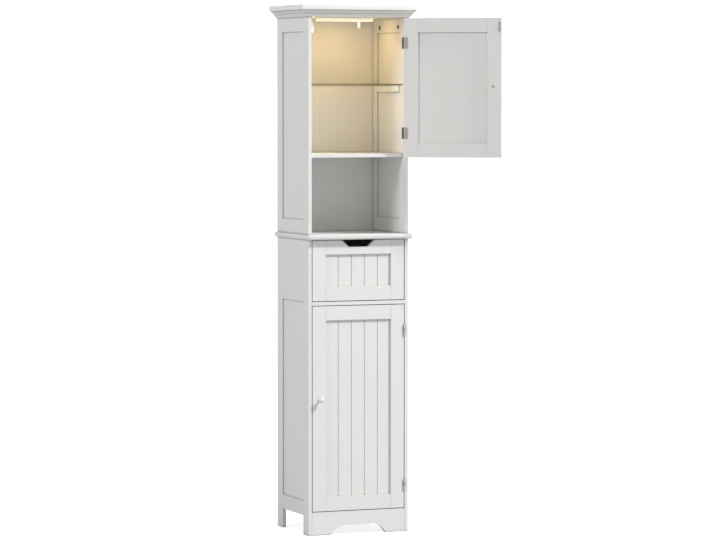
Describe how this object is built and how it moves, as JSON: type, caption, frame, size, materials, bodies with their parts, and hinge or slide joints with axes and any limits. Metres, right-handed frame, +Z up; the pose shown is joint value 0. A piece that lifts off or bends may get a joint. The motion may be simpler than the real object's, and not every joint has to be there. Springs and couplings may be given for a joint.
{
  "type": "tall bathroom cabinet",
  "caption": "Tall freestanding bathroom cabinet with arched plinth, panelled door and drawer, open niche, lit upper cupboard with glass shelf, and cove-moulded top.",
  "frame": {"origin": "on the floor, midway between the sides and midway in the depth of the carcass", "axes": "+X to the right seen from the front, -Y to the front, +Z up along the height"},
  "size_m": [0.6199, 0.481, 1.7],
  "materials": {
    "white_paint": "satin white paint on fibreboard",
    "back_panel": "matt white foil on thin fibreboard",
    "drawer_board": "matt white foil on particle board",
    "shelf_glass": "clear glass with ground edges",
    "hinge_steel": "satin nickel plate",
    "screw_steel": "zinc plate",
    "plate_steel": "dull steel",
    "knob": "glossy white",
    "catch_plastic": "moulded white",
    "lamp_plastic": "moulded white",
    "lamp_lens": "opal lens, lit warm white"
  },
  "bodies": {
    "cabinet": {"apron": "white_paint", "bottom_board": "white_paint", "catch_bodies": "catch_plastic", "catch_poles": "plate_steel", "ceiling_board": "white_paint", "divider_board": "white_paint", "drawer_runners": "drawer_board", "front_moulding": "white_paint", "glass_shelf": "shelf_glass", "hinge_frame_leaves": "hinge_steel", "hinge_pins": "hinge_steel", "lamp_diffuser": "lamp_lens", "lamp_housing": "lamp_plastic", "ledge": "white_paint", "lower_back_panel": "back_panel", "lower_left_front_stile": "white_paint", "lower_left_panel": "white_paint", "lower_left_rails": "white_paint", "lower_left_rear_stile": "white_paint", "lower_right_front_stile": "white_paint", "lower_right_panel": "white_paint", "lower_right_rails": "white_paint", "lower_right_rear_stile": "white_paint", "lower_shelf": "white_paint", "niche_board": "white_paint", "shelf_cleats": "white_paint", "side_mouldings": "white_paint", "top_board": "white_paint", "upper_back_panel": "back_panel", "upper_left_front_stile": "white_paint", "upper_left_panel": "white_paint", "upper_left_rails": "white_paint", "upper_left_rear_stile": "white_paint", "upper_right_front_stile": "white_paint", "upper_right_panel": "white_paint", "upper_right_rails": "white_paint", "upper_right_rear_stile": "white_paint"},
    "upper_door": {"upper_door_hinge_stile": "white_paint", "upper_door_knob_stile": "white_paint", "upper_door_panel": "white_paint", "upper_door_rails": "white_paint", "upper_hinge_leaves": "hinge_steel", "upper_knob": "knob", "upper_knob_screw": "screw_steel", "upper_strike": "plate_steel"},
    "lower_door": {"lower_door_hinge_stile": "white_paint", "lower_door_knob_stile": "white_paint", "lower_door_panel": "white_paint", "lower_door_rails": "white_paint", "lower_hinge_leaves": "hinge_steel", "lower_knob": "knob", "lower_knob_screw": "screw_steel", "lower_strike": "plate_steel"},
    "drawer": {"drawer_back": "drawer_board", "drawer_bottom": "drawer_board", "drawer_front_panel": "white_paint", "drawer_front_rails": "white_paint", "drawer_front_stiles": "white_paint", "drawer_sides": "drawer_board"},
    "lamp_switch": {"lamp_switch": "lamp_plastic"}
  },
  "joints": [
    {"name": "upper_door_hinge", "type": "hinge", "parent": "cabinet", "child": "upper_door", "pos_m": [0.15965, -0.1442, 1.4345], "axis": [0, 0, 1], "range_deg": [-145.6, 24.4]},
    {"name": "lower_door_hinge", "type": "hinge", "parent": "cabinet", "child": "lower_door", "pos_m": [0.15965, -0.1442, 0.407], "axis": [0, 0, 1], "range_deg": [0, 170]},
    {"name": "drawer_slide", "type": "slide", "parent": "cabinet", "child": "drawer", "axis": [0, -1, 0], "range_m": [0, 0.19]},
    {"name": "lamp_switch_swing", "type": "hinge", "parent": "cabinet", "child": "lamp_switch", "pos_m": [0.046, -0.0318, 1.655], "axis": [0, 1, 0], "range_deg": [-12, 12]}
  ]
}
